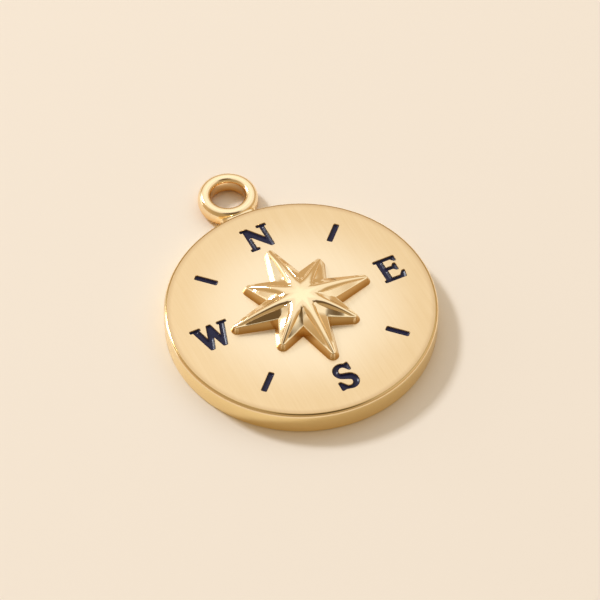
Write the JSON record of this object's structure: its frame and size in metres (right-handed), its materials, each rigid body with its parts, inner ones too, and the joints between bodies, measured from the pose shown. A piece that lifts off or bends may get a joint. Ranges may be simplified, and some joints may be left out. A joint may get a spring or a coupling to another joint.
{
  "type": "compass pendant",
  "caption": "Round flat metal pendant with a soldered hanging loop, a raised faceted compass star on its face, and engraved compass letters and ticks filled with dark enamel.",
  "frame": {"origin": "centre of the disc's flat back", "axes": "+Z out of the face, +Y towards the loop, which is north on the compass, +X east"},
  "size_m": [0.018, 0.0224, 0.0031],
  "materials": {
    "satin_gold": "gold plated, fine one-way brushing on the face, polished loop and edges",
    "polished_gold": "gold plated casting, mirror polished",
    "navy_enamel": "vitreous enamel, glossy, slightly below the face"
  },
  "bodies": {
    "root": {"disc_with_loop": "satin_gold", "star": "polished_gold", "enamel_north": "navy_enamel", "enamel_east": "navy_enamel", "enamel_south": "navy_enamel", "enamel_west": "navy_enamel", "enamel_tick_ne": "navy_enamel", "enamel_tick_se": "navy_enamel", "enamel_tick_sw": "navy_enamel", "enamel_tick_nw": "navy_enamel"}
  },
  "joints": []
}
